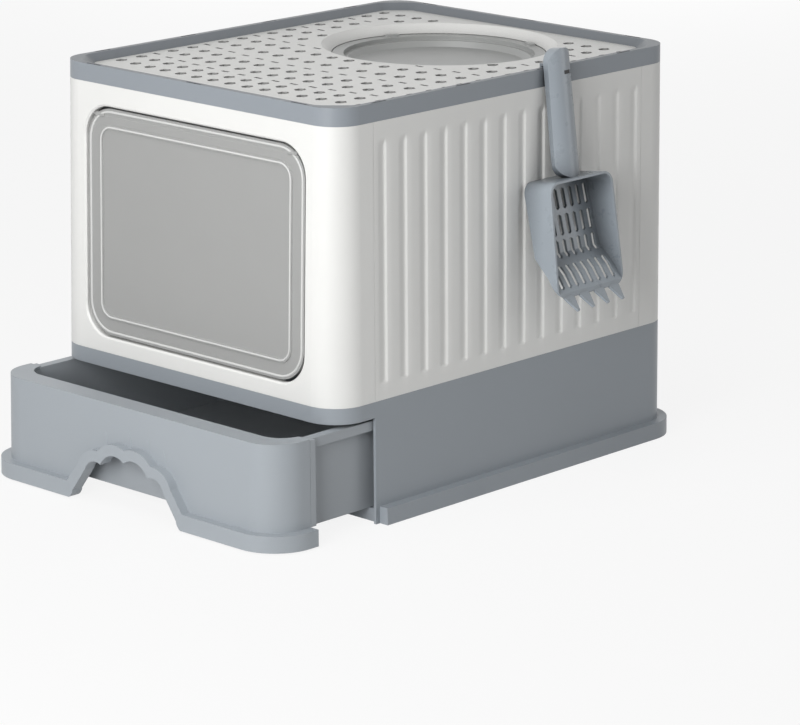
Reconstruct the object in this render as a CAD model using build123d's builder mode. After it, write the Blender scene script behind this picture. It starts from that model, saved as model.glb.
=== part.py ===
"""Drawer litter box: grey base and lid frame, white walls, swinging flap, pull-out tray and scoop.

Millimetres, +Z up. The front faces -Y. The origin is on the floor under the middle of the housing.
The rest pose has the drawer pulled out by DRAWER_PULL.
"""

import math
import os

from build123d import *

# Housing
BODY_WIDTH = 372.0  # X, at the floor
BODY_LENGTH = 475.0  # Y, at the floor
BODY_HEIGHT = 386.5  # floor to the top of the lid's rim
DRAFT = 0.8  # degrees that every outer wall leans in
CORNER_RADIUS = 34.0  # at the floor
WALL = 2.8
JOINT_GAP = 0.3  # between pieces that meet

# Base
BASE_HEIGHT = 114.7
HEADER_HEIGHT = 14.9  # band over the drawer's mouth
SIDE_START = 52.0  # front face to the front edge of the base's side walls
FOOT_HEIGHT = 16.0
FOOT_FLARE = 9.5
FOOT_START = 57.0  # front face to the front end of the base's foot
FLOOR_TOP = 12.2
FLOOR_THICKNESS = 3.0
FLOOR_FRONT = 57.0
FLOOR_RIBS_ACROSS = 3
FLOOR_RIBS_ALONG = 1
LOCATING_LIP = 8.0  # height of the lips that the walls locate on
BATTEN_THICKNESS = 2.0  # battens behind the walls' seams
BATTEN_HALF_WIDTH = 4.5

# Side wall flutes
FLUTE_END_CLEAR = 4.0  # least flat between a wall's end and its first flute
FLUTE_PITCH = 26.83
FLUTE_WIDTH = 12.0
FLUTE_DEPTH = 2.0
FLUTE_BOTTOM = 129.5
FLUTE_TOP = 356.5
FLUTE_FADE = 32.0  # length over which a flute runs out at its top

# Lid
RIM_HEIGHT = 16.8
RIM_LEDGE = 6.0  # flat top of the rim
RIM_SLOPE = 8.5  # width of the slope down to the deck
DECK_RECESS = 6.5
DECK_CORNER_LEG = 19.0  # flat across each corner of the deck
DECK_CORNER_RADIUS = 8.0
DECK_THICKNESS = 3.0
RIM_SHELF = 5.0  # shelf under the deck's edge
RIM_SKIN = 2.6
SNAP_LENGTH = 19.0
SNAP_WIDTH = 2.2
SNAP_DEPTH = 4.0
SNAP_INSET = 2.1  # rim's outer edge to the middle of a snap window
SNAP_FROM_FRONT = (61.5, 172.5)  # front face to the side windows of the lid's front half
SNAP_FROM_REAR = (191.5, 76.5)  # rear face to those of its rear half
SNAP_FRONT_POSITIONS = (-133.0, 0.0, 133.0)  # along X, front and rear

# Top exit
EXIT_TO_REAR = 139.0  # exit's axis to the rear face
EXIT_RADIUS = 114.0
COLLAR_RADIUS = 104.0
COLLAR_DEPTH = 11.5
COLLAR_SKIN = 2.5
COLLAR_STRAIGHT = 3.0  # upright foot of the collar above its seat
SEAT_WIDTH = 9.0
COVER_GAP = 0.6
COVER_THICKNESS = 2.4
COVER_FLANGE = 11.0
COVER_DISH_DEPTH = 9.6
COVER_STEP_WIDTH = 4.0
COVER_STEP_RISE = 5.4  # step above the dish's floor
COVER_SLOPE = 4.5
COVER_LUG = (5.0, 13.0, 3.0)
COVER_LUG_ANGLE = 70.0
COVER_LUG_COUNT = 4

# Deck perforation
HOLE_COLUMNS = 15
HOLE_COLUMN_PITCH = 22.2
HOLE_GROUPS = 6
HOLE_GROUP_PITCH = 67.0
HOLE_FIRST_ROW = 63.3  # front face to the first row
HOLE_ROW_PITCH = 25.9
SLIT_ROW_PITCH = 45.4
HOLE_LENGTH = 13.0
HOLE_WIDTH = 9.5
HOLE_POINT = 3.4  # length of each hole's pointed end
SLIT_LENGTH = 9.0
SLIT_WIDTH = 3.4
ROW_BOW = 23.0  # how far the rows bow to the front
ROW_BOW_CENTRE = 150.5  # front face to the row that bows most
ROW_BOW_SPREAD = 95.0
HOLE_KEEP_OUT = 5.0  # clear ring round the exit's bevel
HOLE_EDGE_CLEAR = 25.0  # least distance from a hole's middle to the front and rear of the deck

# Front flap
DOOR_WIDTH = 286.0
DOOR_HEIGHT = 220.0
DOOR_CENTRE_Z = 239.5
DOOR_RADIUS = 30.0
DOOR_CHAMFER = 1.6  # on the doorway's outer edge
DOOR_GAP = 2.0
FLAP_RADIUS = 31.0
REVEAL_DEPTH = 8.0
REVEAL_WALL = 2.4
FLAP_RECESS = 2.6
FLAP_THICKNESS = 3.0
FLAP_BEAD_INSET = 15.5
FLAP_BEAD_RADIUS = 14.0
FLAP_BEAD_WIDTH = 4.0
FLAP_BEAD_HEIGHT = 0.9
HINGE_DROP = 7.0  # flap's top edge to the hinge axis
PIN_RADIUS = 1.2
PIN_CLEARANCE = 0.08
PIN_LENGTH = 20.0
BARREL_RADIUS = 2.5
BARREL_LENGTH = 12.0
BARREL_INSET = 10.0  # flap's edge to the barrel's outer end
BOSS_RADIUS = 4.2
BOSS_LENGTH = 10.0
BOSS_INSIDE = 1.0  # boss beyond the end of its pin

# Drawer
DRAWER_PULL = 77.0
DRAWER_TOP = 97.8
DRAWER_FOOT_GAP = 1.2
FASCIA_FOOT_HEIGHT = 15.5
FASCIA_FOOT_FLARE = 9.5
LEDGE_THICKNESS = 2.8
FLANGE_WIDTH = 7.0  # tray's stop flanges, flush with the fascia's sides
TRAY_HALF_WIDTH = 173.2
TRAY_WALL = 2.2
TRAY_FRONT = 23.4  # front face to the inside of the tray's front wall
TRAY_CORNER_RADIUS = 24.0
TRAY_RIM_TOP = 96.3
TRAY_RIM_WIDTH = 7.3
TRAY_RIM_DROP = 9.0
TRAY_FLOOR = 2.6
TRAY_RUN_CLEARANCE = 0.4
TRAY_REAR_CLEARANCE = 3.0

# Grip cut-out, half outline from the centre line
GRIP_FOOT_HALF = 81.0
GRIP_FOOT_ROUND = 12.0
GRIP_SHOULDER = (52.0, 32.0)
GRIP_OUTER_PEAK = (43.0, 41.5)
GRIP_NOTCH = (31.0, 41.0)
GRIP_INNER_PEAK = (14.5, 52.5)
GRIP_CENTRE_NOTCH = 48.6
GRIP_BEAD = 10.5

# Scoop
SCOOP_Y = 58.0
SCOOP_LEAN = 8.0  # degrees, foot of the scoop away from the wall
SCOOP_TOP_Z = 285.6
SCOOP_WALL = 2.2
SCOOP_DEPTH = 34.0
SCOOP_LENGTH = 108.0
SCOOP_KNEE = (70.0, 25.5)  # distance down from the top edge, depth there
SCOOP_TOE = (88.0, 11.0)
SCOOP_TOP_WIDTH = 88.0
SCOOP_LIP_WIDTH = 95.0
SCOOP_CORNER = 12.0
SCOOP_HANDLE_SETBACK = 17.0  # rim plane to the handle's middle plane
TOOTH_COUNT = 4
TOOTH_PITCH = 21.3
TOOTH_LENGTH = 15.0
TOOTH_ROOT = 13.0
TOOTH_TIP = 2.6
TOOTH_TILT = 41.0
SLOT_COLUMNS = 8
SLOT_PITCH = 10.4
SLOT_WIDTH = 5.2
SLOT_POINT = 1.8  # length of each slot's pointed end
SLOT_ROWS = ((21.0, 20.0), (45.0, 20.0), (66.5, 17.0), (90.0, 21.0))  # distance down, length
HANDLE_LENGTH = 120.0
HANDLE_TOP_WIDTH = 30.0
HANDLE_WIDTH = 33.0
HANDLE_FRONT = 9.0
HANDLE_BACK = 4.0
HANDLE_WALL = 2.5
PAN_HOLLOW_SHIFT = 2.64  # pan's inside, moved out along the scoop's face
HANG_SLOT = (10.0, 3.8)
HANG_SLOT_DROP = 23.0
HOOK_WIDTH = 14.0
HOOK_THICKNESS = 2.5
HOOK_REACH = 11.5  # rim's outer face to the inside of the hook's tip
HOOK_TIP_CLEARANCE = 0.4

MIN_RADIUS = 2.0
BIG = 900.0  # larger than the object, for cutting blocks

half_width = BODY_WIDTH / 2
half_length = BODY_LENGTH / 2
lean = math.tan(math.radians(DRAFT))
rim_bottom = BODY_HEIGHT - RIM_HEIGHT
deck_top = BODY_HEIGHT - DECK_RECESS
deck_inset = RIM_LEDGE + RIM_SLOPE
header_bottom = BASE_HEIGHT - HEADER_HEIGHT
side_front = -half_length + SIDE_START
drawer_shift = -DRAWER_PULL
exit_y = half_length - EXIT_TO_REAR
snap_side_positions = [inset - half_length for inset in SNAP_FROM_FRONT]
snap_side_positions += [half_length - inset for inset in SNAP_FROM_REAR]


def outline(z, inset=0.0, shift=0.0):
    """Housing outline at height z, set in from the drafted skin and moved along Y."""
    total = z * lean + inset
    with BuildSketch(Plane((0, shift, z)), mode=Mode.PRIVATE) as shape:
        Rectangle(BODY_WIDTH - 2 * total, BODY_LENGTH - 2 * total)
        fillet(shape.vertices(), radius=max(CORNER_RADIUS - total, MIN_RADIUS))
    return shape.sketch


def deck_outline(z, grow=0.0):
    """Outline of the deck at height z, grown outwards: a flat cuts each of its corners."""
    inset = deck_top * lean + deck_inset - grow
    with BuildSketch(Plane.XY.offset(z), mode=Mode.PRIVATE) as shape:
        Rectangle(BODY_WIDTH - 2 * inset, BODY_LENGTH - 2 * inset)
        chamfer(shape.vertices(), length=DECK_CORNER_LEG + grow * (2 - math.sqrt(2)))
        fillet(shape.vertices(), radius=DECK_CORNER_RADIUS + grow)
    return shape.sketch


def deck_prism(z0, z1, grow=0.0, taper=0.0):
    """Solid on the deck's outline from z0 to z1."""
    return extrude(deck_outline(z0, grow), amount=z1 - z0, taper=taper, mode=Mode.PRIVATE)


def prism(z0, z1, inset=0.0, shift=0.0):
    """Drafted solid filling the housing outline from z0 to z1."""
    return extrude(outline(z0, inset, shift), amount=z1 - z0, taper=DRAFT, mode=Mode.PRIVATE)


def ring(z0, z1, inset=0.0, wall=WALL, shift=0.0):
    """Drafted wall standing on the housing outline from z0 to z1."""
    return prism(z0, z1, inset, shift) - prism(z0, z1, inset + wall, shift)


def block(x, y, z):
    """Plain block between the given (low, high) pairs."""
    size = (x[1] - x[0], y[1] - y[0], z[1] - z[0])
    return Pos(sum(x) / 2, sum(y) / 2, sum(z) / 2) * Box(*size, mode=Mode.PRIVATE)


def span(y0, y1):
    """Block that keeps only what lies between y0 and y1."""
    return block((-BIG, BIG), (y0, y1), (-BIG, BIG))


# Base frame: a drafted shell, open at the front under the header, with a flared foot and ribbed floor
floor_bottom = FLOOR_TOP - FLOOR_THICKNESS
floor_front_y = -half_length + FLOOR_FRONT
with BuildPart() as base_frame:
    add(ring(0, BASE_HEIGHT))
    add(block((-BIG, BIG), (-BIG, side_front), (-BIG, header_bottom)), mode=Mode.SUBTRACT)
    add(ring(0, FOOT_HEIGHT, -FOOT_FLARE, FOOT_FLARE + WALL) & span(-half_length + FOOT_START, BIG))
    add(prism(floor_bottom, FLOOR_TOP, WALL / 2) & span(floor_front_y, BIG))
    add(prism(0, floor_bottom, WALL / 2) & span(floor_front_y, floor_front_y + FLOOR_THICKNESS))
    rib_area = prism(0, floor_bottom, WALL / 2) & span(floor_front_y, BIG)
    rib_pitch_y = (BODY_LENGTH - 2 * FLOOR_FRONT) / (FLOOR_RIBS_ACROSS + 1)
    rib_pitch_x = BODY_WIDTH / (FLOOR_RIBS_ALONG + 1)
    for row in range(FLOOR_RIBS_ACROSS):
        rib_y = (row - (FLOOR_RIBS_ACROSS - 1) / 2) * rib_pitch_y
        add(rib_area & span(rib_y - FLOOR_THICKNESS / 2, rib_y + FLOOR_THICKNESS / 2))
    for column in range(FLOOR_RIBS_ALONG):
        rib_x = (column - (FLOOR_RIBS_ALONG - 1) / 2) * rib_pitch_x
        rib_range = (rib_x - FLOOR_THICKNESS / 2, rib_x + FLOOR_THICKNESS / 2)
        add(rib_area & block(rib_range, (-BIG, BIG), (-BIG, BIG)))
    # The lip inside the walls' feet, carried on a ledge
    lip_bottom = BASE_HEIGHT - LOCATING_LIP
    add(ring(lip_bottom, BASE_HEIGHT + LOCATING_LIP, WALL + JOINT_GAP, WALL - JOINT_GAP))
    add(ring(lip_bottom, BASE_HEIGHT, WALL / 2, WALL))
base_frame.part.label = "base_frame"

# White walls: one shell cut at four seams, each piece butting on the next behind the corner flats
wall_shell = ring(BASE_HEIGHT, rim_bottom)
seam_y = half_length - SIDE_START
batten_low = BASE_HEIGHT + LOCATING_LIP + 1
batten_high = rim_bottom - LOCATING_LIP - 1
batten = ring(batten_low, batten_high, WALL + JOINT_GAP, BATTEN_THICKNESS)


def wall_end(sign):
    """One end wall with a batten behind each seam, on the -Y (sign -1) or +Y side."""
    near, far = seam_y + JOINT_GAP / 2, BIG
    body = wall_shell & span(*sorted((sign * near, sign * far)))
    reach = seam_y + BATTEN_HALF_WIDTH
    strip = batten & span(*sorted((sign * (seam_y - BATTEN_HALF_WIDTH), sign * reach)))
    root = ring(batten_low, batten_high, WALL / 2, WALL)
    return body + strip + (root & span(*sorted((sign * near, sign * reach))))


# The door's plane lies on the front skin and leans with it; its Z points out of the housing
door_lean = math.radians(DRAFT)
door_face_y = -half_length + DOOR_CENTRE_Z * lean
door = Plane(
    origin=(0, door_face_y, DOOR_CENTRE_Z),
    x_dir=(1, 0, 0),
    z_dir=(0, -math.cos(door_lean), math.sin(door_lean)),
)
flap_width = DOOR_WIDTH - 2 * DOOR_GAP
flap_height = DOOR_HEIGHT - 2 * DOOR_GAP
hinge_v = flap_height / 2 - HINGE_DROP
hinge_depth = FLAP_RECESS + FLAP_THICKNESS / 2
pin_outer_x = flap_width / 2 + BOSS_LENGTH / 2
boss_inner_x = pin_outer_x + BOSS_INSIDE - BOSS_LENGTH
barrel_outer_x = flap_width / 2 - BARREL_INSET


def cross_rod(radius, x0, x1):
    """Round bar along the hinge axis from x0 to x1."""
    centre = door * Pos((x0 + x1) / 2, hinge_v, -hinge_depth)
    return centre * Rot(0, 90, 0) * Cylinder(radius, x1 - x0, mode=Mode.PRIVATE)


with BuildPart() as front_wall:
    add(wall_end(-1))
    with BuildSketch(door.offset(-REVEAL_DEPTH)):
        RectangleRounded(
            DOOR_WIDTH + 2 * REVEAL_WALL, DOOR_HEIGHT + 2 * REVEAL_WALL, DOOR_RADIUS + REVEAL_WALL
        )
    extrude(amount=REVEAL_DEPTH - WALL / 2)
    for side in (-1, 1):
        boss_range = sorted((side * boss_inner_x, side * (boss_inner_x + BOSS_LENGTH)))
        boss = cross_rod(BOSS_RADIUS, *boss_range)
        add(boss & prism(BASE_HEIGHT, rim_bottom, WALL / 2))
    with BuildSketch(door.offset(-2 * REVEAL_DEPTH)):
        RectangleRounded(DOOR_WIDTH, DOOR_HEIGHT, DOOR_RADIUS)
    extrude(amount=3 * REVEAL_DEPTH, mode=Mode.SUBTRACT)
    door_axis = Axis(door.origin, door.z_dir)
    front_face = front_wall.faces().filter_by(door_axis).sort_by(door_axis)[-1]
    chamfer(front_face.inner_wires()[0].edges(), length=DOOR_CHAMFER)
    add(cross_rod(PIN_RADIUS + PIN_CLEARANCE, -pin_outer_x, pin_outer_x), mode=Mode.SUBTRACT)
front_wall.part.label = "front_wall"

with BuildPart() as rear_wall:
    add(wall_end(1))
rear_wall.part.label = "rear_wall"


# Side walls: corrugated by flutes that lean with the wall and run out at their tops
flute_radius = (FLUTE_WIDTH**2 / 4 + FLUTE_DEPTH**2) / (2 * FLUTE_DEPTH)
fade_angle = math.degrees(math.atan(FLUTE_DEPTH / FLUTE_FADE))
flute_count = 1 + int((2 * (seam_y - FLUTE_END_CLEAR) - FLUTE_WIDTH) / FLUTE_PITCH)


def flute_bar(radius):
    """Round bar on a wall's plane (X out of the wall, Z up it) that bites in, then runs out."""
    straight = FLUTE_TOP - FLUTE_BOTTOM - FLUTE_FADE
    axis_x = flute_radius - FLUTE_DEPTH
    aligned = (Align.CENTER, Align.CENTER, Align.MIN)
    lower = Pos(axis_x, 0, 0) * Cylinder(radius, straight, align=aligned, mode=Mode.PRIVATE)
    upper_place = Pos(axis_x, 0, straight) * Rot(0, fade_angle, 0)
    return lower, upper_place * Cylinder(radius, FLUTE_FADE * 1.2, align=aligned, mode=Mode.PRIVATE)


def side_wall(side):
    """One fluted side wall, on the -X (side -1) or +X side."""
    face_x = side * (half_width - FLUTE_BOTTOM * lean)
    draft = math.radians(DRAFT)
    face = Plane(
        origin=(face_x, 0, FLUTE_BOTTOM),
        x_dir=(side * math.cos(draft), 0, math.sin(draft)),
        z_dir=(-side * math.sin(draft), 0, math.cos(draft)),
    )
    inside = block((-BIG, -WALL / 2), (-BIG, BIG), (-BIG, BIG))
    groove_low, groove_high = flute_bar(flute_radius)
    swell = flute_bar(flute_radius + WALL * 0.8)[0] & inside
    with BuildPart() as wall:
        add(wall_shell & span(-seam_y + JOINT_GAP / 2, seam_y - JOINT_GAP / 2))
        keep = sorted((0, side * BIG))
        add(block(keep, (-BIG, BIG), (-BIG, BIG)), mode=Mode.INTERSECT)
        for number in range(flute_count):
            offset_y = (number - (flute_count - 1) / 2) * FLUTE_PITCH
            place = face * Pos(0, offset_y, 0)
            add(place * swell)
            add(place * groove_low, mode=Mode.SUBTRACT)
            add(place * groove_high, mode=Mode.SUBTRACT)
    return wall


left_wall = side_wall(-1)
left_wall.part.label = "left_wall"
right_wall = side_wall(1)
right_wall.part.label = "right_wall"


# Lid rim: hollow frame with a flat top, a slope down to the deck and a shelf under the deck's edge
slope_angle = math.degrees(math.atan(RIM_SLOPE / DECK_RECESS))
with BuildPart() as lid_rim:
    add(prism(rim_bottom, BODY_HEIGHT))
    add(prism(rim_bottom, BODY_HEIGHT - RIM_SKIN, RIM_SKIN), mode=Mode.SUBTRACT)
    add(prism(deck_top - DECK_THICKNESS - RIM_SKIN, BODY_HEIGHT, RIM_LEDGE - RIM_SKIN / 2))
    add(deck_prism(deck_top, BODY_HEIGHT, 0, -slope_angle), mode=Mode.SUBTRACT)
    add(deck_prism(deck_top - DECK_THICKNESS, deck_top), mode=Mode.SUBTRACT)
    shelf_bottom = deck_top - DECK_THICKNESS - RIM_SKIN
    add(deck_prism(shelf_bottom, deck_top, -RIM_SHELF), mode=Mode.SUBTRACT)
    with Locations((0, exit_y, deck_top - DECK_THICKNESS)):
        Cylinder(EXIT_RADIUS + COLLAR_SKIN + JOINT_GAP, 2 * DECK_THICKNESS, mode=Mode.SUBTRACT)
    add(ring(rim_bottom - LOCATING_LIP, rim_bottom, WALL + JOINT_GAP, WALL - JOINT_GAP))
    add(ring(rim_bottom, BODY_HEIGHT - RIM_SKIN / 2, WALL + JOINT_GAP, WALL - JOINT_GAP))
    snap_inset = BODY_HEIGHT * lean + SNAP_INSET
    for side in (-1, 1):
        for snap_y in snap_side_positions:
            with Locations((side * (half_width - snap_inset), snap_y, BODY_HEIGHT)):
                Box(SNAP_WIDTH, SNAP_LENGTH, 2 * SNAP_DEPTH, mode=Mode.SUBTRACT)
        for snap_x in SNAP_FRONT_POSITIONS:
            with Locations((snap_x, side * (half_length - snap_inset), BODY_HEIGHT)):
                Box(SNAP_LENGTH, SNAP_WIDTH, 2 * SNAP_DEPTH, mode=Mode.SUBTRACT)
lid_rim.part.label = "lid_rim"


# Lid deck: perforated plate with the bevelled collar of the top exit
bow_centre = ROW_BOW_CENTRE - half_length
row_limit = half_length - deck_top * lean - deck_inset - HOLE_EDGE_CLEAR


def row_bow(y):
    """How far a row near y bows to the front at the middle."""
    return ROW_BOW * math.exp(-(((y - bow_centre) / ROW_BOW_SPREAD) ** 2))


def row_places(y, clearance):
    """Places of one row's holes, bowed to the front and kept clear of the exit."""
    half_row = (HOLE_COLUMNS - 1) / 2 * HOLE_COLUMN_PITCH
    places = []
    for column in range(HOLE_COLUMNS):
        x = column * HOLE_COLUMN_PITCH - half_row
        hole_y = y - row_bow(y) * (1 - (x / half_row) ** 2)
        clear_of_exit = math.hypot(x, hole_y - exit_y) > EXIT_RADIUS + clearance
        if clear_of_exit and abs(hole_y) < row_limit:
            places.append((x, hole_y))
    return places


exit_axis = Axis((0, exit_y, 0), (0, 0, 1))


def exit_profile(*points):
    """Half section of a piece turned about the exit's axis, points as (radius, z)."""
    with BuildSketch(Plane((0, exit_y, 0), x_dir=(1, 0, 0), z_dir=(0, -1, 0)), mode=Mode.PRIVATE) as shape:
        with BuildLine():
            Polyline(*points, close=True)
        make_face()
    return shape.sketch


def pointed_slot(width, length, point):
    """Hexagonal slot along Y with a blunt point at each end."""
    half = length / 2
    with BuildSketch(mode=Mode.PRIVATE) as shape:
        Polygon(
            (-width / 2, point - half),
            (0, -half),
            (width / 2, point - half),
            (width / 2, half - point),
            (0, half),
            (-width / 2, half - point),
        )
    return shape.sketch


drain_hole = pointed_slot(HOLE_WIDTH, HOLE_LENGTH, HOLE_POINT)

seat_z = deck_top - COLLAR_DEPTH
with BuildPart() as lid_deck:
    add(deck_prism(deck_top - DECK_THICKNESS, deck_top, -JOINT_GAP))
    with BuildSketch(Plane.XY.offset(deck_top)):
        for group in range(HOLE_GROUPS):
            first = HOLE_FIRST_ROW - half_length + group * HOLE_GROUP_PITCH
            for row_y in (first, first + HOLE_ROW_PITCH):
                for place in row_places(row_y, HOLE_KEEP_OUT):
                    with Locations(place):
                        add(drain_hole)
            if group < HOLE_GROUPS - 1:
                for place in row_places(first + SLIT_ROW_PITCH, HOLE_KEEP_OUT):
                    with Locations(place):
                        Rectangle(SLIT_LENGTH, SLIT_WIDTH)
    extrude(amount=-DECK_THICKNESS, mode=Mode.SUBTRACT)
    with Locations((0, exit_y, deck_top - DECK_THICKNESS / 2)):
        Cylinder(EXIT_RADIUS + COLLAR_SKIN / 2, 2 * DECK_THICKNESS, mode=Mode.SUBTRACT)
    collar = exit_profile(
        (EXIT_RADIUS, deck_top),
        (COLLAR_RADIUS, seat_z + COLLAR_STRAIGHT),
        (COLLAR_RADIUS, seat_z),
        (COLLAR_RADIUS - SEAT_WIDTH, seat_z),
        (COLLAR_RADIUS - SEAT_WIDTH, seat_z - COLLAR_SKIN),
        (COLLAR_RADIUS + COLLAR_SKIN, seat_z - COLLAR_SKIN),
        (COLLAR_RADIUS + COLLAR_SKIN, seat_z + COLLAR_STRAIGHT),
        (EXIT_RADIUS + COLLAR_SKIN, deck_top - DECK_THICKNESS),
        (EXIT_RADIUS + COLLAR_SKIN, deck_top),
    )
    revolve(collar, axis=exit_axis)
lid_deck.part.label = "lid_deck"


# Exit cover: dished disc whose flange rests on the collar's seat
cover_radius = COLLAR_RADIUS - COVER_GAP
cover_low = seat_z + JOINT_GAP / 2
cover_top = cover_low + COVER_THICKNESS
dish_rim = cover_radius - COVER_FLANGE
dish_step = dish_rim - COVER_STEP_WIDTH
dish_floor = dish_step - COVER_SLOPE
dish_low = cover_top - COVER_DISH_DEPTH
step_z = dish_low + COVER_STEP_RISE
with BuildPart() as exit_cover:
    dish = exit_profile(
        (0, dish_low),
        (dish_floor, dish_low),
        (dish_step, step_z),
        (dish_rim, step_z),
        (dish_rim, cover_top),
        (cover_radius, cover_top),
        (cover_radius, cover_low),
        (dish_rim + COVER_THICKNESS, cover_low),
        (dish_rim + COVER_THICKNESS / 2, step_z - COVER_THICKNESS),
        (dish_step + COVER_THICKNESS / 2, step_z - COVER_THICKNESS),
        (dish_floor + COVER_THICKNESS / 2, dish_low - COVER_THICKNESS),
        (0, dish_low - COVER_THICKNESS),
    )
    revolve(dish, axis=exit_axis)
    with Locations((0, exit_y, cover_top)):
        with PolarLocations(cover_radius - COVER_LUG[0] / 2 - 1, COVER_LUG_COUNT, COVER_LUG_ANGLE):
            Box(*COVER_LUG)
exit_cover.part.label = "exit_cover"


# Front flap: flat plate with a raised bead, and a barrel at each top corner round its hinge pin
flap_face = door.offset(-FLAP_RECESS)
with BuildPart() as door_flap:
    with BuildSketch(flap_face):
        RectangleRounded(flap_width, flap_height, FLAP_RADIUS)
    extrude(amount=-FLAP_THICKNESS)
    with BuildSketch(flap_face):
        bead_width = flap_width - 2 * FLAP_BEAD_INSET
        bead_height = flap_height - 2 * FLAP_BEAD_INSET
        RectangleRounded(bead_width, bead_height, FLAP_BEAD_RADIUS)
        RectangleRounded(
            bead_width - 2 * FLAP_BEAD_WIDTH,
            bead_height - 2 * FLAP_BEAD_WIDTH,
            FLAP_BEAD_RADIUS - FLAP_BEAD_WIDTH,
            mode=Mode.SUBTRACT,
        )
    extrude(amount=FLAP_BEAD_HEIGHT)
    for side in (-1, 1):
        barrel_range = sorted((side * barrel_outer_x, side * (barrel_outer_x - BARREL_LENGTH)))
        add(cross_rod(BARREL_RADIUS, *barrel_range))
    add(cross_rod(PIN_RADIUS + PIN_CLEARANCE, -pin_outer_x, pin_outer_x), mode=Mode.SUBTRACT)
door_flap.part.label = "door_flap"

with BuildPart() as flap_hinge_pins:
    for side in (-1, 1):
        pin_range = sorted((side * pin_outer_x, side * (pin_outer_x - PIN_LENGTH)))
        add(cross_rod(PIN_RADIUS, *pin_range))
flap_hinge_pins.part.label = "flap_hinge_pins"


# Drawer: the fascia carries the housing's outline, and the tray runs inside the base's walls
fascia_back = side_front - JOINT_GAP - FLANGE_WIDTH + drawer_shift
flange_back = side_front - JOINT_GAP + drawer_shift
tray_front_y = -half_length + TRAY_FRONT + drawer_shift
tray_rear_y = (
    half_length - WALL - BASE_HEIGHT * lean - TRAY_REAR_CLEARANCE - TRAY_RIM_WIDTH + drawer_shift
)
tray_bottom = FLOOR_TOP + TRAY_RUN_CLEARANCE


def tray_outline(z, grow):
    """Tray's inner outline grown outwards, at height z."""
    width = 2 * (TRAY_HALF_WIDTH - TRAY_WALL + grow)
    length = tray_rear_y - tray_front_y + 2 * grow - TRAY_WALL
    middle = (tray_rear_y - TRAY_WALL + tray_front_y) / 2
    with BuildSketch(Plane((0, middle, z)), mode=Mode.PRIVATE) as shape:
        Rectangle(width, length)
        fillet(shape.vertices(), radius=TRAY_CORNER_RADIUS + grow)
    return shape.sketch


def tray_prism(z0, z1, grow):
    """Upright solid on the tray's outline."""
    return extrude(tray_outline(z0, grow), amount=z1 - z0, mode=Mode.PRIVATE)


# Grip cut-out, drawn on the fascia's face: four finger scallops under a bead
grip_plane = Plane(origin=(0, -half_length - 2 * FASCIA_FOOT_FLARE + drawer_shift, 0),
                   x_dir=(1, 0, 0), z_dir=(0, 1, 0))


def grip_outline(grow):
    """Cut-out's outline, grown by grow; drawn with -Y up because the plane looks along +Y."""
    with BuildSketch(grip_plane, mode=Mode.PRIVATE) as shape:
        with BuildLine():
            for side in (-1, 1):
                shoulder = (side * GRIP_SHOULDER[0], -GRIP_SHOULDER[1])
                notch = (side * GRIP_NOTCH[0], -GRIP_NOTCH[1])
                foot_top = (side * (GRIP_FOOT_HALF - GRIP_FOOT_ROUND), -GRIP_FOOT_ROUND * 0.75)
                Line((0, 2 * GRIP_BEAD), (side * GRIP_FOOT_HALF * 1.05, 2 * GRIP_BEAD))
                Line((side * GRIP_FOOT_HALF * 1.05, 2 * GRIP_BEAD), (side * GRIP_FOOT_HALF, 0))
                ThreePointArc(
                    (side * GRIP_FOOT_HALF, 0),
                    (side * (GRIP_FOOT_HALF - GRIP_FOOT_ROUND * 0.7), -GRIP_FOOT_ROUND * 0.2),
                    foot_top,
                )
                Line(foot_top, shoulder)
                ThreePointArc(shoulder, (side * GRIP_OUTER_PEAK[0], -GRIP_OUTER_PEAK[1]), notch)
                ThreePointArc(
                    notch,
                    (side * GRIP_INNER_PEAK[0], -GRIP_INNER_PEAK[1]),
                    (0, -GRIP_CENTRE_NOTCH),
                )
        make_face()
        if grow:
            offset(amount=grow)
    return shape.sketch


foot_top_z = DRAWER_FOOT_GAP + FASCIA_FOOT_HEIGHT
front_zone = span(-BIG, fascia_back)
grip_through = half_length / 4
with BuildPart() as drawer_front:
    add(ring(foot_top_z - WALL, DRAWER_TOP, 0, WALL, drawer_shift) & front_zone)
    flare = ring(DRAWER_FOOT_GAP, foot_top_z, -FASCIA_FOOT_FLARE, WALL, drawer_shift)
    add(flare & front_zone)
    shelf = ring(foot_top_z - WALL, foot_top_z, -FASCIA_FOOT_FLARE, FASCIA_FOOT_FLARE + WALL,
                 drawer_shift)
    add(shelf & front_zone)
    ledge = prism(DRAWER_TOP - LEDGE_THICKNESS, DRAWER_TOP, 0, drawer_shift) & front_zone
    add(ledge - tray_prism(0, BODY_HEIGHT, 0))
    bead_zone = prism(DRAWER_FOOT_GAP, 3 * FASCIA_FOOT_HEIGHT + GRIP_BEAD * 2, -FASCIA_FOOT_FLARE,
                      drawer_shift)
    bead = extrude(grip_outline(GRIP_BEAD), amount=grip_through, mode=Mode.PRIVATE) & bead_zone
    bead_back = prism(0, DRAWER_TOP, WALL, drawer_shift)
    add(bead - bead_back)
    add(extrude(grip_outline(0), amount=grip_through, mode=Mode.PRIVATE), mode=Mode.SUBTRACT)
drawer_front.part.label = "drawer_front"

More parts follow.
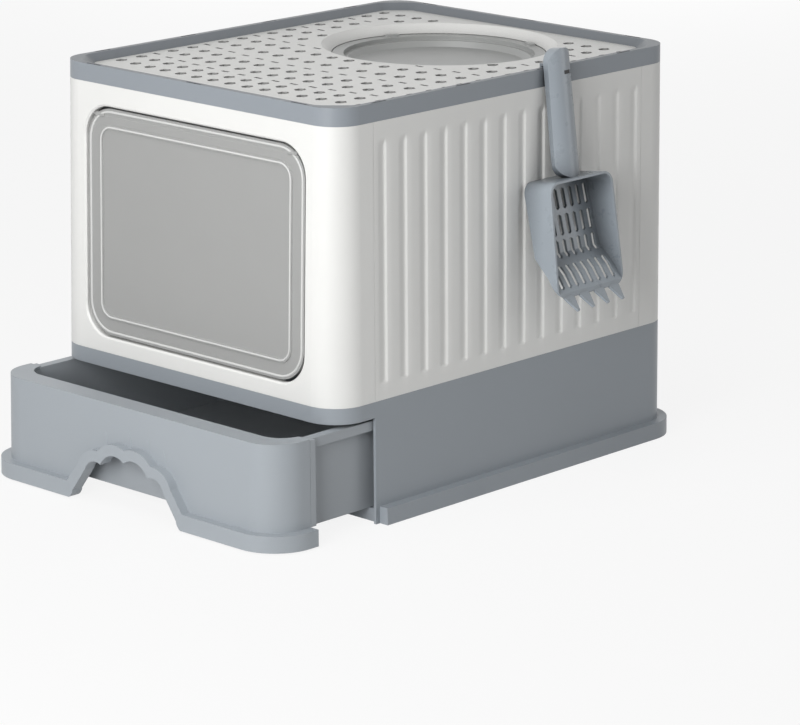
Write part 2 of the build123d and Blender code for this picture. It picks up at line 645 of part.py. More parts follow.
rim_grow = TRAY_WALL + TRAY_RIM_WIDTH
rebate_z = DRAWER_TOP - LEDGE_THICKNESS - JOINT_GAP
with BuildPart() as litter_tray:
    add(tray_prism(tray_bottom, TRAY_RIM_TOP, TRAY_WALL))
    add(tray_prism(TRAY_RIM_TOP - TRAY_RIM_DROP, TRAY_RIM_TOP, rim_grow))
    rim_groove = tray_prism(0, TRAY_RIM_TOP - TRAY_WALL, rim_grow - TRAY_WALL)
    add(rim_groove - tray_prism(0, TRAY_RIM_TOP, TRAY_WALL), mode=Mode.SUBTRACT)
    stop_skin = prism(foot_top_z, TRAY_RIM_TOP, 0, drawer_shift) - tray_prism(0, BODY_HEIGHT, TRAY_WALL)
    add(stop_skin & span(fascia_back + JOINT_GAP, flange_back))
    add(tray_prism(tray_bottom + TRAY_FLOOR, BODY_HEIGHT, 0), mode=Mode.SUBTRACT)
    add(block((-BIG, BIG), (-BIG, fascia_back + JOINT_GAP), (rebate_z, BIG)), mode=Mode.SUBTRACT)
litter_tray.part.label = "litter_tray"


# Scoop: drawn on a plane that leans with it. X is the scoop's width, Y runs up it, Z points out
scoop_lean = math.radians(SCOOP_LEAN)
scoop_top_wall = half_width - SCOOP_TOP_Z * lean
scoop_back = SCOOP_DEPTH - SCOOP_HANDLE_SETBACK
scoop_x = scoop_top_wall + JOINT_GAP + scoop_back * math.cos(scoop_lean)
scoop_plane = Plane(
    origin=(scoop_x, SCOOP_Y, SCOOP_TOP_Z),
    x_dir=(0, 1, 0),
    z_dir=(math.cos(scoop_lean), 0, math.sin(scoop_lean)),
)
side_plane = Plane(
    origin=(scoop_x, SCOOP_Y - SCOOP_LIP_WIDTH, SCOOP_TOP_Z),
    x_dir=(-math.sin(scoop_lean), 0, math.cos(scoop_lean)),
    z_dir=(0, 1, 0),
)


def pan_section():
    """Pan's side section between its open face and its floor, as a bar across the scoop."""
    with BuildSketch(side_plane, mode=Mode.PRIVATE) as section:
        with BuildLine():
            Polyline(
                (0, SCOOP_HANDLE_SETBACK),
                (0, SCOOP_HANDLE_SETBACK - SCOOP_DEPTH),
                (-SCOOP_KNEE[0], SCOOP_HANDLE_SETBACK - SCOOP_KNEE[1]),
                (-SCOOP_TOE[0], SCOOP_HANDLE_SETBACK - SCOOP_TOE[1]),
                (-SCOOP_LENGTH, SCOOP_HANDLE_SETBACK),
                close=True,
            )
        make_face()
    return extrude(section.sketch, amount=2 * SCOOP_LIP_WIDTH, mode=Mode.PRIVATE)


def pan_outline(inset):
    """Pan seen square on: widening to its lip, with round top corners."""
    with BuildSketch(scoop_plane.offset(-BIG / 2), mode=Mode.PRIVATE) as shape:
        with BuildLine():
            Polyline(
                (-SCOOP_TOP_WIDTH / 2 + inset, -inset),
                (SCOOP_TOP_WIDTH / 2 - inset, -inset),
                (SCOOP_LIP_WIDTH / 2 - inset, -SCOOP_LENGTH - inset),
                (-SCOOP_LIP_WIDTH / 2 + inset, -SCOOP_LENGTH - inset),
                close=True,
            )
        make_face()
        fillet(shape.vertices().group_by(Axis.Z)[-1], radius=SCOOP_CORNER - inset)
    return extrude(shape.sketch, amount=BIG, mode=Mode.PRIVATE)


def handle_outline(inset):
    """Handle seen square on, with its domed top."""
    with BuildSketch(scoop_plane.offset(-BIG / 2), mode=Mode.PRIVATE) as shape:
        with BuildLine():
            Polyline(
                (-HANDLE_WIDTH / 2 + inset, 0),
                (HANDLE_WIDTH / 2 - inset, 0),
                (HANDLE_TOP_WIDTH / 2 - inset, HANDLE_LENGTH - inset),
                (-HANDLE_TOP_WIDTH / 2 + inset, HANDLE_LENGTH - inset),
                close=True,
            )
        make_face()
        fillet(shape.vertices().group_by(Axis.Z)[-1], radius=HANDLE_TOP_WIDTH / 2 - inset - 1)
    return extrude(shape.sketch, amount=BIG, mode=Mode.PRIVATE)


def handle_section(inset):
    """Handle's cross-section, round to the front and open at the back, as a bar up the scoop."""
    half = HANDLE_WIDTH / 2 - inset
    across = Plane(scoop_plane.origin, x_dir=(0, 1, 0), z_dir=scoop_plane.y_dir)
    with BuildSketch(across.offset(-SCOOP_WALL), mode=Mode.PRIVATE) as section:
        with BuildLine():
            Polyline((-half, 0), (-half, HANDLE_BACK + inset), (half, HANDLE_BACK + inset), (half, 0))
            ThreePointArc((half, 0), (0, -HANDLE_FRONT + inset), (-half, 0))
        make_face()
    return extrude(section.sketch, amount=HANDLE_LENGTH + SCOOP_WALL, mode=Mode.PRIVATE)


def floor_tooth(offset_x):
    """One tooth standing out from the lip, along the lip's own slope."""
    root = scoop_plane * Pos(offset_x, -SCOOP_LENGTH, SCOOP_HANDLE_SETBACK + SCOOP_WALL / 2)
    place = root * Rot(-TOOTH_TILT, 0, 0)
    with BuildSketch(Plane(place), mode=Mode.PRIVATE) as shape:
        with BuildLine():
            Polyline(
                (-TOOTH_ROOT / 2, SCOOP_WALL * 2),
                (-TOOTH_ROOT / 2, 0),
                (-TOOTH_TIP / 2, -TOOTH_LENGTH),
                (TOOTH_TIP / 2, -TOOTH_LENGTH),
                (TOOTH_ROOT / 2, 0),
                (TOOTH_ROOT / 2, SCOOP_WALL * 2),
                close=True,
            )
        make_face()
    return extrude(shape.sketch, amount=-SCOOP_WALL, mode=Mode.PRIVATE)


# Hook in the handle's back: over the rim's flat top, with its tip on the slope behind
hook_z = BODY_HEIGHT + JOINT_GAP
hook_face = half_width - BODY_HEIGHT * lean
hook_front = scoop_x - (hook_z - SCOOP_TOP_Z) * math.tan(scoop_lean) + HANDLE_FRONT - HANDLE_WALL
hook_across = (SCOOP_Y - HOOK_WIDTH / 2, SCOOP_Y + HOOK_WIDTH / 2)
tip_run = HOOK_REACH - HOOK_THICKNESS - RIM_LEDGE
hook_tip_z = BODY_HEIGHT - tip_run * DECK_RECESS / RIM_SLOPE + HOOK_TIP_CLEARANCE

with BuildPart() as litter_scoop:
    add(pan_section() & pan_outline(0))
    add(handle_section(0) & handle_outline(0))
    add(handle_section(HANDLE_WALL) & handle_outline(HANDLE_WALL), mode=Mode.SUBTRACT)
    hollow = Pos(scoop_plane.z_dir * PAN_HOLLOW_SHIFT) * pan_section()
    add(hollow & pan_outline(SCOOP_WALL), mode=Mode.SUBTRACT)
    for drop, length in SLOT_ROWS:
        with BuildSketch(scoop_plane.offset(SCOOP_DEPTH)):
            with Locations((0, -drop)):
                with GridLocations(SLOT_PITCH, 1, SLOT_COLUMNS, 1):
                    add(pointed_slot(SLOT_WIDTH, length, SLOT_POINT))
        extrude(amount=-2 * SCOOP_DEPTH, mode=Mode.SUBTRACT)
    for number in range(TOOTH_COUNT):
        add(floor_tooth((number - (TOOTH_COUNT - 1) / 2) * TOOTH_PITCH))
    add(block((hook_face - HOOK_REACH, hook_front), hook_across, (hook_z, hook_z + HOOK_THICKNESS)))
    tip_range = (hook_face - HOOK_REACH, hook_face - HOOK_REACH + HOOK_THICKNESS)
    add(block(tip_range, hook_across, (hook_tip_z, hook_z + HOOK_THICKNESS)))
    with BuildSketch(scoop_plane):
        with Locations((HANDLE_WIDTH / 2, HANDLE_LENGTH - HANG_SLOT_DROP)):
            Rectangle(2 * HANG_SLOT[0], HANG_SLOT[1])
    extrude(amount=2 * HANDLE_FRONT, mode=Mode.SUBTRACT)
litter_scoop.part.label = "litter_scoop"


os.makedirs("parts", exist_ok=True)
for sub_part in (
    base_frame,
    front_wall,
    rear_wall,
    left_wall,
    right_wall,
    lid_rim,
    lid_deck,
    exit_cover,
    door_flap,
    flap_hinge_pins,
    drawer_front,
    litter_tray,
    litter_scoop,
):
    export_step(sub_part.part, f"parts/{sub_part.part.label}.step")
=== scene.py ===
import math

import bpy
from mathutils import Matrix, Vector


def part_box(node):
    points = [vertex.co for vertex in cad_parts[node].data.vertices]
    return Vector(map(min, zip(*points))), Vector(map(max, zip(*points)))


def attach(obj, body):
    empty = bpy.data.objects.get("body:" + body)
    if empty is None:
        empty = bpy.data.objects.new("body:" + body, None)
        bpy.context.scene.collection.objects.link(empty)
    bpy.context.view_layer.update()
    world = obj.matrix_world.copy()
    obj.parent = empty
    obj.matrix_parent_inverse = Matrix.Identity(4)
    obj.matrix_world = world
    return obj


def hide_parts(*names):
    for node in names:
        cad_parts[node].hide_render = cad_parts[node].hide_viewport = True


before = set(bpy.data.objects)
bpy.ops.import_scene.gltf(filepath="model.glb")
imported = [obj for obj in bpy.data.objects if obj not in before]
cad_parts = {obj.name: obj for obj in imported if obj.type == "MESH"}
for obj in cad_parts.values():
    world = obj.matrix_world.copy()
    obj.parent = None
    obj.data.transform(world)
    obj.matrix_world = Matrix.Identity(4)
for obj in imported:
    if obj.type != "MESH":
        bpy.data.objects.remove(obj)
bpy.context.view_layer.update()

UP = Vector((0, 0, 1))
RIGHT = Vector((1, 0, 0))

# Camera, solved from the edges of the box in the photograph (metres, degrees, millimetres)
CAMERA_AT = Vector((2.3751, -2.5096, 1.0205))
CAMERA_TARGET = Vector((0.27149, -0.24695, 0.180))
CAMERA_ROLL = 0.26
CAMERA_REACH = (0.05, 200.0)  # nearest and farthest that it sees
LENS_MM = 166.6
SENSOR_MM = 36.0

# Housing: half sizes at the floor, and the slope that every outer wall leans in by
HALF_WIDTH = 0.186
HALF_LENGTH = 0.2375
LEAN = math.tan(math.radians(0.8))
FRONT_OUT = Vector((0, -1, LEAN)).normalized()
FRONT_UP = Vector((0, LEAN, 1)).normalized()

# Flutes of the side walls: a long soft flank towards the front, a short steep one behind
FLUTE_COUNT = 14
FLUTE_PITCH = 0.02683
FLUTE_START = -0.0065  # front edge of a flute, from its centre line
FLUTE_FLANKS = (0.0095, 0.0030)
FLUTE_DEPTH = 0.0017
FLUTE_ENDS = (0.1295, 0.3545)  # foot and top
FLUTE_FADE = (0.0030, 0.0090)  # how fast it runs out at the foot and at the top
FLANK_STEPS = (7, 5)  # mesh steps across each flank
FADE_STEPS = (4, 8)  # mesh steps where a flute runs out
MIDDLE_STEPS = 6  # mesh steps between its ends
SIDE_WALL = 0.0028

# Flap: its plane on the front wall, which leans, and what stands on its outer face
DOOR_CENTRE_Z = 0.2395
FLAP_FACE = 0.0026  # flap's outer face behind the wall's skin
FLAP_HALF = (0.141, 0.108)
FLAP_CORNER = 0.031
FLAP_CORNER_LEAST = 0.012
CORNER_STEPS = 10
BEAD_LIFT = 0.0008  # bead's crest above the flap's outer face

# Ridges, low rounded bars laid along a path on a face
RIDGE_STEPS = 6
RIDGE_ROOT = 0.0004  # how far a ridge is sunk into what carries it

# Drawer's fascia at rest, pulled out, and the creases that rise from its grip
DRAWER_PULL = 0.077
CREASE_FEET = ((-0.0310, 0.0525), (0.0005, 0.0600), (0.0245, 0.0590), (0.0460, 0.0490))  # X, Z
CREASE_RISE = 0.0185
CREASE_LEAN = 0.0032  # how far a crease's top stands left of its foot
CREASE_SIZE = (0.0014, 0.0005)  # width, height
CREASE_STEPS = 12
CREASE_SWELL = (0.12, 0.86)  # part of a half sine that its size follows: start, length

# Slot through the tip of the scoop's handle, where a black plate paints the shade inside it
SLOT_MIDDLE = Vector((0.19425, 0.0605, 0.3832))
SLOT_OUT = Vector((0.985, 0.10, 0.14)).normalized()
SLOT_HALF = (0.0036, 0.0017)
SLOT_SINK = 0.0006
SLOT_THICK = 0.0008

# Colours, linear
WHITE = (0.850, 0.850, 0.830)
SLATE = (0.325, 0.356, 0.388)
RIM_SLATE = (0.290, 0.318, 0.350)
# Painted light: the fascia's slate is paler than the base's, for the light it catches standing out nearer the
# key lamp
FASCIA_LIT_SLATE = (0.370, 0.402, 0.432)
# Painted light: the tray's slate is made paler to lighten its shaded inside
TRAY_LIT_SLATE = (0.370, 0.398, 0.425)
SCOOP_SLATE = (0.345, 0.385, 0.425)
SMOKE = (0.475, 0.478, 0.470)
COVER_SMOKE = (0.440, 0.448, 0.440)
STEEL = (0.56, 0.56, 0.57)
# Painted shade: black for the plate that stands for the shade inside the handle's slot
SLOT_SHADE_BLACK = (0.012, 0.012, 0.013)
FLOOR = (0.74, 0.74, 0.74)
PLAIN_WHITE = (1.0, 1.0, 1.0, 1.0)
# Painted highlight: the flap's border and bead are a paler copy of its smoke
BEAD_HIGHLIGHT_PALER = 1.45  # bead against the flap

# Moulded plastic: noise is (scale, detail, roughness), and heights are in metres
FLOW_NOISE = (9.0, 4.0, 0.55)
SCUFF_NOISE = (60.0, 6.0, 0.65)
GRIT_NOISE = (1500.0, 2.0, 0.6)
FLOW_TONES = (0.975, 1.02)
GRIT_HEIGHT = 0.0004
FLOW_HEIGHT = 0.004
FLOW_STRENGTH = 0.04
ROUGH_SPREAD = (-0.05, 0.06)
# Paler edges: wear, and on the flap and cover a painted highlight
WEAR_AND_HIGHLIGHT_GAIN = 3.0
WEAR_AND_HIGHLIGHT_LEAST = 0.35
# Painted shade on the faces that look up
TOP_SHADE_START = 0.35  # how far a face looks up before it counts as a top, 0 to 1
TOP_SHADE_GAIN = 3.0
# Painted shade in holes and corners, from ambient occlusion
CREVICE_SHADE_FALL = 0.8
CREVICE_SHADE_TONE = 0.10
PLASTIC_IOR = 1.49

# Drawn steel: scratches run along X
SCRATCH_STRETCH = (20.0, 2500.0, 2500.0)
SCRATCH_NOISE = (1.0, 4.0, 0.7)
SCRATCH_TONES = (0.85, 1.1)
SCRATCH_ROUGHNESS = (0.25, 0.42)
SCRATCH_HEIGHT = 0.0001
SCRATCH_STRENGTH = 0.1

# Studio
FLOOR_SIZE = 60.0
FLOOR_DROP = 0.0005  # floor under the object's foot
FLOOR_WHITE = 0.88  # share of plain white where the camera or a reflection sees the floor
AMBIENT = 0.12
LAMPS = (
    # name, place, target, side of the soft box, power, seen in reflections
    ("key_front", (0.62, -1.85, 0.80), (0.0, -0.20, 0.20), 1.0, 25.0, True),
    ("top_front", (0.00, -1.00, 2.30), (0.0, -0.15, 0.10), 1.2, 16.5, True),
    ("side_fill", (2.40, 2.00, 0.90), (0.0, 0.05, 0.20), 1.4, 12.0, True),
    ("back_fill", (-1.90, 2.30, 0.70), (0.0, 0.10, 0.20), 1.4, 18.0, False),
)


class Nodes:
    """The node tree of a material or a world, being built: inputs are set by name or number."""

    def __init__(self, owner):
        owner.use_nodes = True
        self.owner = owner
        self.tree = owner.node_tree
        self.tree.nodes.clear()

    def add(self, kind, inputs=None, **settings):
        node = self.tree.nodes.new(kind)
        for key, value in settings.items():
            setattr(node, key, value)
        for key, value in (inputs or {}).items():
            if isinstance(value, bpy.types.NodeSocket):
                self.tree.links.new(value, node.inputs[key])
            else:
                node.inputs[key].default_value = value
        return node

    def math(self, operation, a, b=0.0, clamp=False):
        return self.add("ShaderNodeMath", {0: a, 1: b}, operation=operation, use_clamp=clamp).outputs[0]

    def mix(self, share, first, second):
        """A colour between two colours."""
        inputs = {0: share, 6: first, 7: second}
        return self.add("ShaderNodeMix", inputs, data_type="RGBA").outputs[2]

    def spread(self, value, low, high):
        """A 0 to 1 value spread between low and high."""
        node = self.add("ShaderNodeMapRange", {"Value": value, "To Min": low, "To Max": high})
        return node.outputs["Result"]

    def noise(self, where, scale, detail, rough):
        inputs = {"Vector": where, "Scale": scale, "Detail": detail, "Roughness": rough}
        return self.add("ShaderNodeTexNoise", inputs).outputs["Fac"]

    def bump(self, strength, distance, height, normal=None):
        inputs = {"Strength": strength, "Distance": distance, "Height": height}
        if normal is not None:
            inputs["Normal"] = normal
        return self.add("ShaderNodeBump", inputs).outputs[0]

    def seen(self):
        """1 for a ray of the camera, a reflection or a clear material, else 0."""
        path = self.add("ShaderNodeLightPath").outputs
        mirrored = self.math("MAXIMUM", path["Is Glossy Ray"], path["Is Transmission Ray"])
        return self.math("MAXIMUM", path["Is Camera Ray"], mirrored)


def shade(colour, factor):
    return tuple(min(1.0, c * factor) for c in colour) + (1.0,)


def moulded(name, colour, roughness, grain=0.05, edge=1.10, round_mm=0.5,
            transmission=0.0, crevice_shade=None, top=1.0):
    """Injection-moulded plastic: fine spark grain, faint flow marks, softened edges paler from wear and,
    where edge is high, from a painted highlight.

    crevice is (depth in mm, how dark): painted shade, darkening holes and corners of about that size as
    ambient occlusion finds them.
    top is a factor on the colour of the faces that look up: painted shade that darkens them.
    """
    s = Nodes(bpy.data.materials.new(name))
    where = s.add("ShaderNodeTexCoord").outputs["Object"]
    flow = s.noise(where, *FLOW_NOISE)
    scuff = s.noise(where, *SCUFF_NOISE)
    grit = s.noise(where, *GRIT_NOISE)
    tone = s.mix(flow, shade(colour, FLOW_TONES[0]), shade(colour, FLOW_TONES[1]))

    rounded = s.add("ShaderNodeBevel", {"Radius": round_mm / 1000}, samples=4).outputs[0]
    normal = s.add("ShaderNodeNewGeometry").outputs["Normal"]
    bend = s.add("ShaderNodeVectorMath", {0: rounded, 1: normal}, operation="DOT_PRODUCT")
    rim = s.math("MULTIPLY", s.math("SUBTRACT", 1.0, bend.outputs["Value"]), WEAR_AND_HIGHLIGHT_GAIN, clamp=True)
    worn_and_highlit = s.math("MULTIPLY", rim, s.spread(scuff, WEAR_AND_HIGHLIGHT_LEAST, 1.0), clamp=True)
    base = s.mix(worn_and_highlit, tone, shade(colour, edge))

    # Painted shade: faces that look up are darkened
    if top != 1.0:
        facing = s.add("ShaderNodeSeparateXYZ", {0: normal}).outputs["Z"]
        top_shade_share = s.math("MULTIPLY", s.math("SUBTRACT", facing, TOP_SHADE_START), TOP_SHADE_GAIN, clamp=True)
        base = s.mix(top_shade_share, base, shade(colour, top))
    # Painted shade: holes and corners darkened by ambient occlusion
    if crevice_shade:
        depth, dark = crevice_shade
        sky = s.add("ShaderNodeAmbientOcclusion", {"Distance": depth / 1000}, samples=6)
        shut = s.math("SUBTRACT", 1.0, sky.outputs["AO"], clamp=True)
        share = s.math("MULTIPLY", s.math("POWER", shut, CREVICE_SHADE_FALL), dark, clamp=True)
        base = s.mix(share, base, shade(colour, CREVICE_SHADE_TONE))

    grained = s.bump(grain, GRIT_HEIGHT, grit, rounded)
    plastic = s.add("ShaderNodeBsdfPrincipled", {
        "Base Color": base,
        "Roughness": s.spread(scuff, roughness + ROUGH_SPREAD[0], roughness + ROUGH_SPREAD[1]),
        "Normal": s.bump(FLOW_STRENGTH, FLOW_HEIGHT, flow, grained),
        "IOR": PLASTIC_IOR,
        "Transmission Weight": transmission,
    })
    s.add("ShaderNodeOutputMaterial", {0: plastic.outputs[0]})
    return s.owner


def drawn_steel(name):
    """Drawn steel wire: lengthwise scratches along X."""
    s = Nodes(bpy.data.materials.new(name))
    where = s.add("ShaderNodeTexCoord").outputs["Object"]
    along = s.add("ShaderNodeMapping", {"Vector": where, "Scale": SCRATCH_STRETCH}).outputs[0]
    lines = s.noise(along, *SCRATCH_NOISE)
    metal = s.add("ShaderNodeBsdfPrincipled", {
        "Base Color": s.mix(lines, shade(STEEL, SCRATCH_TONES[0]), shade(STEEL, SCRATCH_TONES[1])),
        "Metallic": 1.0,
        "Roughness": s.spread(lines, *SCRATCH_ROUGHNESS),
        "Normal": s.bump(SCRATCH_STRENGTH, SCRATCH_HEIGHT, lines),
    })
    s.add("ShaderNodeOutputMaterial", {0: metal.outputs[0]})
    return s.owner


def backdrop(name, share):
    """Pale floor: a share of plain white for what looks at it, over a floor that keeps the shadow."""
    s = Nodes(bpy.data.materials.new(name))
    diffuse = s.add("ShaderNodeBsdfDiffuse", {"Color": FLOOR + (1.0,)}).outputs[0]
    white = s.add("ShaderNodeEmission", {"Color": PLAIN_WHITE, "Strength": 1.0}).outputs[0]
    part = s.math("MULTIPLY", s.seen(), share)
    mixed = s.add("ShaderNodeMixShader", {0: part, 1: diffuse, 2: white})
    s.add("ShaderNodeOutputMaterial", {0: mixed.outputs[0]})
    return s.owner


# Finishes
white = moulded("white_satin", WHITE, 0.42, grain=0.10, edge=1.05, round_mm=0.6)
# Painted shade in the deck's holes
deck_white = moulded("deck_satin", WHITE, 0.42, grain=0.10, edge=1.03, round_mm=0.4, crevice_shade=(14.0, 2.0))
slate = moulded("slate_matt", SLATE, 0.40, grain=0.16, edge=1.12)
# Painted shade in the rim's snap windows and on its faces that look up
rim_slate = moulded("rim_slate", RIM_SLATE, 0.38, grain=0.16, edge=1.12, crevice_shade=(14.0, 1.2), top=0.62)
# Painted light: paler slate for the fascia
fascia = moulded("fascia_slate", FASCIA_LIT_SLATE, 0.40, grain=0.14, edge=1.12)
# Painted light: paler slate for the tray's shaded inside
tray = moulded("tray_slate", TRAY_LIT_SLATE, 0.45, grain=0.16, edge=1.12)
# Painted shade in the scoop's hollow handle and where it hangs near the wall
scoop = moulded("scoop_slate", SCOOP_SLATE, 0.28, grain=0.06, edge=1.25, crevice_shade=(28.0, 0.95))
# Flap and cover: their high edge paints a highlight along their edges and steps
smoke = moulded("flap_smoke", SMOKE, 0.38, grain=0.08, edge=1.7, round_mm=1.0, transmission=0.25)
# Painted highlight: paler smoke for the flap's border and bead
bead_highlight_smoke = moulded("bead_highlight_smoke", shade(SMOKE, BEAD_HIGHLIGHT_PALER)[:3], 0.30, edge=1.2, round_mm=0.3)
cover = moulded("cover_smoke", COVER_SMOKE, 0.34, grain=0.08, edge=1.7, round_mm=0.9, transmission=0.15)
# Painted shade inside the handle's slot
slot_shade_black = moulded("slot_shade_black", SLOT_SHADE_BLACK, 0.6, edge=1.0, round_mm=0.3)
steel = drawn_steel("pin_steel")

FINISH = {
    "front_wall": white, "rear_wall": white, "left_wall": white, "right_wall": white,
    "lid_deck": deck_white, "base_frame": slate, "lid_rim": rim_slate, "drawer_front": fascia,
    "litter_tray": tray, "litter_scoop": scoop, "door_flap": smoke, "exit_cover": cover,
    "flap_hinge_pins": steel,
}
for node, finish in FINISH.items():
    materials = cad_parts[node].data.materials
    materials.clear()
    materials.append(finish)


def piece(name, points, faces, body, finish):
    """A mesh of the object's own: smooth, but crisp where faces meet at an angle."""
    mesh = bpy.data.meshes.new(name)
    mesh.from_pydata([tuple(point) for point in points], [], faces)
    mesh.validate()
    mesh.materials.append(finish)
    mesh.shade_smooth()
    mesh.set_sharp_from_angle(angle=math.radians(45))
    thing = bpy.data.objects.new(name, mesh)
    bpy.context.scene.collection.objects.link(thing)
    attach(thing, body)
    return thing


# Side walls, with flutes that end bluntly under the rim
def ease(t):
    """0 to 1, starting and ending softly."""
    t = min(1.0, max(0.0, t))
    return t * t * (3.0 - 2.0 * t)


def flute_depth(y, z):
    """How far the flutes lie behind a side wall's skin."""
    centre = (round(y / FLUTE_PITCH - 0.5) + 0.5) * FLUTE_PITCH
    if abs(centre) > FLUTE_COUNT / 2 * FLUTE_PITCH:
        return 0.0
    across = y - centre - FLUTE_START
    soft, steep = FLUTE_FLANKS
    hollow = ease(across / soft) * (1.0 - ease((across - soft) / steep))
    foot, top = FLUTE_ENDS
    return FLUTE_DEPTH * hollow * ease((z - foot) / FLUTE_FADE[0]) * ease((top - z) / FLUTE_FADE[1])


def wall_columns(y0, y1):
    """Places along a side wall: its ends, and close steps across each flute."""
    soft, steep = FLUTE_FLANKS
    steps = [t / FLANK_STEPS[0] * soft for t in range(FLANK_STEPS[0] + 1)]
    steps += [soft + t / FLANK_STEPS[1] * steep for t in range(1, FLANK_STEPS[1] + 1)]
    steps.append((soft + steep + FLUTE_PITCH) / 2)
    columns = [y0, y1]
    for number in range(FLUTE_COUNT):
        start = (number - (FLUTE_COUNT - 1) / 2) * FLUTE_PITCH + FLUTE_START
        columns += [start + step for step in steps]
    return sorted(y for y in columns if y0 <= y <= y1)


def wall_rows(z0, z1):
    """Heights on a side wall, close together where the flutes end."""
    foot, top = FLUTE_ENDS
    rows = [z0, z1]
    rows += [foot + FLUTE_FADE[0] * t / FADE_STEPS[0] for t in range(FADE_STEPS[0] + 1)]
    rows += [top - FLUTE_FADE[1] * t / FADE_STEPS[1] for t in range(FADE_STEPS[1] + 1)]
    rows += [foot + (top - foot) * t / MIDDLE_STEPS for t in range(1, MIDDLE_STEPS)]
    return sorted(rows)


def side_wall(name, side):
    """One fluted side wall in the place of its CAD node: skin, inner face and the edges between."""
    low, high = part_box(name)
    columns, rows = wall_columns(low[1], high[1]), wall_rows(low[2], high[2])
    across, up = len(columns), len(rows)
    count = across * up
    points = []
    for inset in (0.0, SIDE_WALL):
        for z in rows:
            for y in columns:
                points.append((side * (HALF_WIDTH - z * LEAN - inset - flute_depth(y, z)), y, z))
    faces = []
    for row in range(up - 1):
        for column in range(across - 1):
            corner = row * across + column
            skin = (corner, corner + 1, corner + across + 1, corner + across)
            faces += [skin, tuple(index + count for index in reversed(skin))]
    bottom = list(range(across))
    rear = [row * across + across - 1 for row in range(1, up)]
    top = [count - 2 - column for column in range(across - 1)]
    front = [row * across for row in range(up - 2, 0, -1)]
    border = bottom + rear + top + front
    for here, there in zip(border, border[1:] + border[:1]):
        faces.append((there, here, here + count, there + count))
    if side < 0:
        faces = [tuple(reversed(face)) for face in faces]
    wall = piece(name + "_fluted", points, faces, "housing", white)
    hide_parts(name)


side_wall("left_wall", -1)
side_wall("right_wall", 1)


# Ridges
def ridge(name, path, width, height, body, slot, finish, closed=True):
    """path is a list of (middle, direction across, direction out, share of the full size)."""
    points, faces = [], []
    ring = RIDGE_STEPS + 3
    for middle, across, out, share in path:
        half = width / 2 * share
        for step in range(RIDGE_STEPS + 1):
            turn = math.pi * step / RIDGE_STEPS
            points.append(middle + across * (math.cos(turn) * half) + out * (math.sin(turn) * height * share))
        for edge in (-1, 1):
            points.append(middle + across * (edge * half) - out * RIDGE_ROOT)
    last = len(path) if closed else len(path) - 1
    for number in range(last):
        here, there = number * ring, (number + 1) % len(path) * ring
        for step in range(ring):
            other = (step + 1) % ring
            faces.append((here + step, there + step, there + other, here + other))
    if not closed:
        faces.append(tuple(range(ring)))
        faces.append(tuple(len(points) - 1 - step for step in range(ring)))
    return piece(name, points, faces, body, finish)


def rounded_path(half_width, half_height, radius, place):
    """Closed path round a rectangle with rounded corners, on the leaning front face."""
    path = []
    for corner, (sx, sy) in enumerate(((1, 1), (-1, 1), (-1, -1), (1, -1))):
        for step in range(CORNER_STEPS + 1):
            angle = math.radians(90 * (corner + step / CORNER_STEPS))
            u = sx * (half_width - radius) + radius * math.cos(angle)
            v = sy * (half_height - radius) + radius * math.sin(angle)
            across = RIGHT * math.cos(angle) + FRONT_UP * math.sin(angle)
            path.append((place + RIGHT * u + FRONT_UP * v, across, FRONT_OUT, 1.0))
    return path


# Flap's raised border and bead, in a paler smoke that paints the highlight they catch
def flap_line(name, inset, width, height, lift=0.0):
    """A ridge round the flap's outer face, inset from its edge."""
    middle = Vector((0, -HALF_LENGTH + DOOR_CENTRE_Z * LEAN, DOOR_CENTRE_Z)) + FRONT_OUT * (lift - FLAP_FACE)
    corner = max(FLAP_CORNER - inset, FLAP_CORNER_LEAST)
    path = rounded_path(FLAP_HALF[0] - inset, FLAP_HALF[1] - inset, corner, middle)
    ridge(name, path, width, height, "flap", "smoke_plastic", bead_highlight_smoke)


flap_line("flap_border", inset=0.0030, width=0.0022, height=0.0008)
flap_line("flap_bead_crest", inset=0.0175, width=0.0018, height=0.0007, lift=BEAD_LIFT)


# Creases above the grip, where the fascia is drawn in between the fingers
def fascia_point(x, z):
    return Vector((x, -HALF_LENGTH - DRAWER_PULL + z * LEAN, z))


def grip_crease(number, foot_x, foot_z):
    """A ridge that rises from the grip's edge and thins out."""
    start, length = CREASE_SWELL
    path = []
    for step in range(CREASE_STEPS + 1):
        t = step / CREASE_STEPS
        middle = fascia_point(foot_x - CREASE_LEAN * t * t, foot_z + CREASE_RISE * t)
        share = math.sin(math.pi * (start + length * t)) ** 0.5
        path.append((middle, RIGHT, FRONT_OUT, share))
    ridge(f"grip_crease_{number}", path, *CREASE_SIZE, "drawer", "grey_plastic", fascia, closed=False)


for number, foot in enumerate(CREASE_FEET, start=1):
    grip_crease(number, *foot)


def handle_slot_shade():
    """The shade inside the slot in the handle, painted as a thin black plate a little proud of the handle's
    face.
    """
    along = UP.cross(SLOT_OUT).normalized()
    upward = SLOT_OUT.cross(along)
    corners = ((-1, -1), (1, -1), (1, 1), (-1, 1))
    inner = SLOT_MIDDLE - SLOT_OUT * SLOT_SINK
    points = [inner + along * (u * SLOT_HALF[0]) + upward * (v * SLOT_HALF[1]) for u, v in corners]
    points += [point + SLOT_OUT * SLOT_THICK for point in points]
    faces = [(3, 2, 1, 0), (4, 5, 6, 7)]
    faces += [(i, (i + 1) % 4, (i + 1) % 4 + 4, i + 4) for i in range(4)]
    piece("handle_slot_shade", points, faces, "scoop", slot_shade_black)


handle_slot_shade()


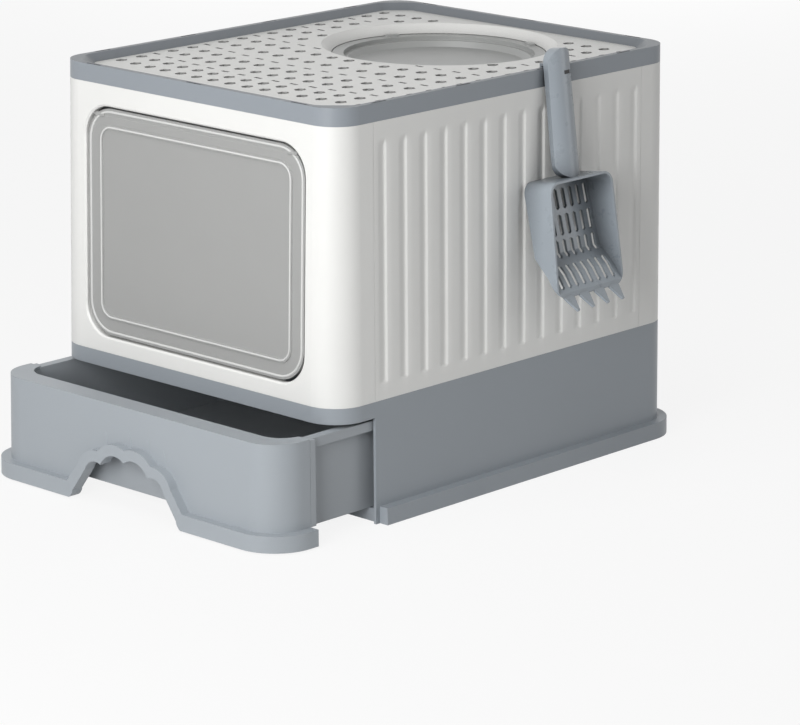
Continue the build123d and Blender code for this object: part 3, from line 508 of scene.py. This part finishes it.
# Floor, lamps and world
def studio_floor():
    half = FLOOR_SIZE / 2
    corners = [(-half, -half, 0), (half, -half, 0), (half, half, 0), (-half, half, 0)]
    mesh = bpy.data.meshes.new("floor")
    mesh.from_pydata(corners, [], [(0, 1, 2, 3)])
    mesh.materials.append(backdrop("pale_floor", FLOOR_WHITE))
    floor = bpy.data.objects.new("floor", mesh)
    floor.location.z = -FLOOR_DROP
    bpy.context.scene.collection.objects.link(floor)


def area_lamp(name, at, target, size, power, gloss):
    """A square soft box at a point, facing a target, out of the camera's sight."""
    lamp = bpy.data.lights.new(name, "AREA")
    lamp.size = size
    lamp.energy = power
    thing = bpy.data.objects.new(name, lamp)
    bpy.context.scene.collection.objects.link(thing)
    thing.location = at
    thing.rotation_euler = (Vector(target) - Vector(at)).to_track_quat("-Z", "Y").to_euler()
    thing.visible_camera = False
    thing.visible_glossy = gloss


def studio_world():
    """Even soft light, plain white where the camera or a reflection sees it."""
    world = bpy.data.worlds.new("studio")
    bpy.context.scene.world = world
    s = Nodes(world)
    soft = s.add("ShaderNodeBackground", {"Color": PLAIN_WHITE, "Strength": AMBIENT}).outputs[0]
    plain = s.add("ShaderNodeBackground", {"Color": PLAIN_WHITE, "Strength": 1.0}).outputs[0]
    mixed = s.add("ShaderNodeMixShader", {0: s.seen(), 1: soft, 2: plain})
    s.add("ShaderNodeOutputWorld", {0: mixed.outputs[0]})


def aim_camera():
    """The photograph's camera: it looks at its target, rolled a little."""
    data = bpy.data.cameras.new("camera")
    data.lens = LENS_MM
    data.sensor_width = SENSOR_MM
    data.sensor_fit = "HORIZONTAL"
    data.clip_start, data.clip_end = CAMERA_REACH
    camera = bpy.data.objects.new("camera", data)
    bpy.context.scene.collection.objects.link(camera)
    forward = (CAMERA_TARGET - CAMERA_AT).normalized()
    right = forward.cross(UP).normalized()
    up = right.cross(forward)
    roll = math.radians(CAMERA_ROLL)
    across = right * math.cos(roll) + up * math.sin(roll)
    upward = up * math.cos(roll) - right * math.sin(roll)
    turn = Matrix((across, upward, -forward)).transposed().to_4x4()
    camera.matrix_world = Matrix.Translation(CAMERA_AT) @ turn
    bpy.context.scene.camera = camera


studio_floor()
for lamp in LAMPS:
    area_lamp(*lamp)
studio_world()
aim_camera()
bpy.context.scene.view_settings.view_transform = "Standard"
